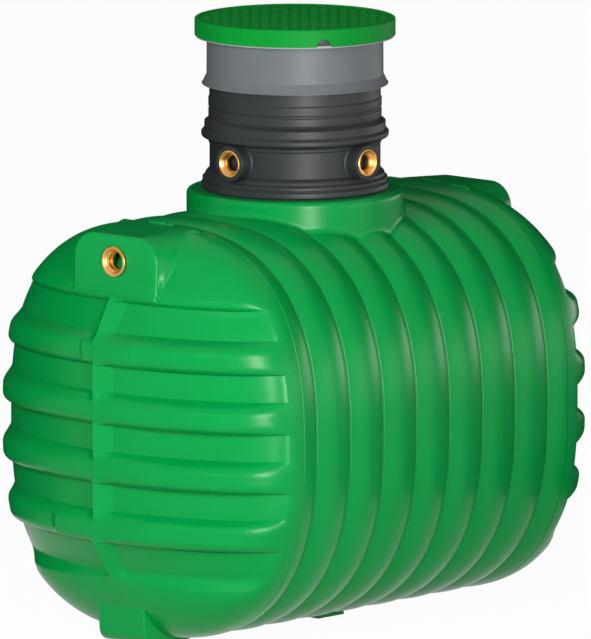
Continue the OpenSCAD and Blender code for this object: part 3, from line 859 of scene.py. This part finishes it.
def make_rim_highlight():
    """A thin ring that shows under the lid's rim, like a seal's edge; its pale grey is a painted
    highlight along the lid's lower edge.
    """
    inner, outer = 0.345, COVER_RADIUS - 0.005
    foot, top = COVER_FOOT - 0.005, COVER_FOOT + 0.004
    # the ring's pale grey paints a highlight line along the lid's lower edge
    lathe("lid_rim_highlight", [
        (inner, foot, 0), (outer, foot, 0.0015), (outer, top, 0.0005), (inner, top, 0),
    ], PALE_HIGHLIGHT_GREY, (), 160, at_axis())


# ---------- all the pieces ----------

make_barrel()
make_end("moulded_front_end", "front_end", FRONT)
make_end("moulded_rear_end", "rear_end", REAR)
make_boss("moulded_front_boss", "front_boss", FRONT)
make_boss("moulded_rear_boss", "rear_boss", REAR)
make_foot("moulded_front_foot", "front_foot", FRONT)
make_foot("moulded_rear_foot", "rear_foot", REAR)
make_neck()
make_shaft()
make_socket("front_branch_socket", "front_socket", FRONT_BRANCH)
make_socket("side_branch_socket", "side_socket", SIDE_BRANCH)
make_bushes()
make_cover()
make_treads()
make_rim_highlight()

belly_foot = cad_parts["belly_foot"]
belly_foot.data.materials.clear()
belly_foot.data.materials.append(GREEN)


# ---------- floor, light and camera ----------

AZIMUTH = math.radians(47.9)
ELEVATION = math.radians(8.8)
RIGHT = Vector((math.cos(AZIMUTH), -math.sin(AZIMUTH), 0))
UP = Vector((math.sin(AZIMUTH) * math.sin(ELEVATION), math.cos(AZIMUTH) * math.sin(ELEVATION),
             math.cos(ELEVATION)))
BACK = RIGHT.cross(UP)
TARGET = Vector((0, 0, AXIS_Z)) + RIGHT * 0.0018 + UP * 0.318
VIEW_HEIGHT = 2.358
DISTANCE = 60.0
WHITE_SHARE = 0.97         # of the floor that glows white; the rest takes light and shadow


def make_camera():
    sensor = 36
    data = bpy.data.cameras.new("camera")
    camera = in_scene("camera", data)
    data.sensor_width = sensor
    data.lens = sensor * DISTANCE / VIEW_HEIGHT
    data.clip_end = 400
    place = TARGET + BACK * DISTANCE
    camera.matrix_world = Matrix((
        (RIGHT.x, UP.x, BACK.x, place.x),
        (RIGHT.y, UP.y, BACK.y, place.y),
        (RIGHT.z, UP.z, BACK.z, place.z),
        (0, 0, 0, 1),
    ))
    bpy.context.scene.camera = camera


def seen_mix(nodes, links):
    """1 for camera, glossy and transmission rays, else 0."""
    path = nodes.new("ShaderNodeLightPath")
    first = nodes.new("ShaderNodeMath")
    first.operation = "MAXIMUM"
    links.new(path.outputs["Is Camera Ray"], first.inputs[0])
    links.new(path.outputs["Is Glossy Ray"], first.inputs[1])
    second = nodes.new("ShaderNodeMath")
    second.operation = "MAXIMUM"
    links.new(first.outputs[0], second.inputs[0])
    links.new(path.outputs["Is Transmission Ray"], second.inputs[1])
    return second.outputs[0]


def make_floor():
    """A pale floor, which camera and mirrored rays see as nearly plain white."""
    mesh = bpy.data.meshes.new("floor")
    reach = 60.0
    corners = [(-reach, -reach, 0), (reach, -reach, 0), (reach, reach, 0), (-reach, reach, 0)]
    mesh.from_pydata(corners, [], [(0, 1, 2, 3)])
    floor = in_scene("floor", mesh)
    floor.location.z = FLOOR_Z - 0.0005
    material = bpy.data.materials.new("pale_floor")
    nodes, links = fresh_nodes(material)
    diffuse = nodes.new("ShaderNodeBsdfDiffuse")
    diffuse.inputs["Color"].default_value = (0.8, 0.8, 0.8, 1)
    glow = nodes.new("ShaderNodeEmission")
    glow.inputs["Color"].default_value = (1, 1, 1, 1)
    glow.inputs["Strength"].default_value = 1.0
    share = nodes.new("ShaderNodeMath")
    share.operation = "MULTIPLY"
    share.inputs[1].default_value = WHITE_SHARE
    links.new(seen_mix(nodes, links), share.inputs[0])
    mix = nodes.new("ShaderNodeMixShader")
    links.new(share.outputs[0], mix.inputs[0])
    links.new(diffuse.outputs[0], mix.inputs[1])
    links.new(glow.outputs[0], mix.inputs[2])
    output = nodes.new("ShaderNodeOutputMaterial")
    links.new(mix.outputs[0], output.inputs[0])
    mesh.materials.append(material)


def make_world():
    world = bpy.data.worlds.new("studio")
    bpy.context.scene.world = world
    nodes, links = fresh_nodes(world)
    seen = nodes.new("ShaderNodeBackground")
    seen.inputs["Color"].default_value = (1, 1, 1, 1)
    seen.inputs["Strength"].default_value = 1.0
    soft = nodes.new("ShaderNodeBackground")
    soft.inputs["Color"].default_value = (1, 1, 1, 1)
    soft.inputs["Strength"].default_value = 0.20
    mix = nodes.new("ShaderNodeMixShader")
    links.new(seen_mix(nodes, links), mix.inputs[0])
    links.new(soft.outputs[0], mix.inputs[1])
    links.new(seen.outputs[0], mix.inputs[2])
    output = nodes.new("ShaderNodeOutputWorld")
    links.new(mix.outputs[0], output.inputs[0])


def make_flags():
    """Dark cloth behind and beside the tank, seen only in reflections, to darken its edges."""
    radius, top, columns = 13.0, 11.0, 40
    behind = math.atan2(-BACK.y, -BACK.x)
    turn = behind + np.radians(np.linspace(-100, 84, columns))
    level = FLOOR_Z + 0.001
    rings = [(1.7, level), (radius, level), (radius, top * 0.5), (radius * 0.85, top)]
    points = np.concatenate([
        np.column_stack([r * np.cos(turn), r * np.sin(turn), np.full(columns, z)]) for r, z in rings])
    mesh = bpy.data.meshes.new("flags")
    mesh.from_pydata(points.tolist(), [], grid_faces(len(rings), columns).tolist())
    flags = in_scene("flags", mesh)
    flags.visible_camera = False
    flags.visible_diffuse = False
    flags.visible_shadow = False
    flags.visible_transmission = False
    material, _, _, shader = node_material("dark_cloth")
    shader.inputs["Base Color"].default_value = (0.02, 0.02, 0.02, 1)
    shader.inputs["Roughness"].default_value = 1.0
    shader.inputs["Specular IOR Level"].default_value = 0.0
    mesh.materials.append(material)


def softbox(name, turn, rise, distance, width, height, power, mirrored=True, lights=True):
    """A lamp at an angle to the right of the camera and a height angle, facing the tank."""
    turn, rise = math.radians(turn), math.radians(rise)
    flat_back = Vector((BACK.x, BACK.y, 0)).normalized()
    level = flat_back * math.cos(turn) + RIGHT * math.sin(turn)
    direction = level * math.cos(rise) + Vector((0, 0, 1)) * math.sin(rise)
    centre = Vector((0, 0, AXIS_Z + 0.2))
    data = bpy.data.lights.new(name, "AREA")
    data.shape = "RECTANGLE"
    data.size, data.size_y = width, height
    data.energy = power
    lamp = in_scene(name, data)
    lamp.location = centre + direction * distance
    lamp.rotation_euler = (centre - lamp.location).to_track_quat("-Z", "Y").to_euler()
    lamp.visible_camera = False
    lamp.visible_glossy = mirrored
    lamp.visible_diffuse = lights


make_camera()
make_floor()
make_world()
make_flags()
softbox("front", -30, 22, 7.0, 3.0, 2.4, 235, mirrored=False)
softbox("key", 15, 10, 6.0, 1.5, 3.2, 165)
softbox("glint", 15, 8, 5.9, 1.5, 3.4, 260, lights=False)
softbox("side", 72, 5.4, 12.0, 9.0, 3.2, 260, lights=False)
softbox("rim", 121, 4, 12.0, 8.7, 2.6, 280, lights=False)
bpy.context.scene.view_settings.view_transform = "Standard"
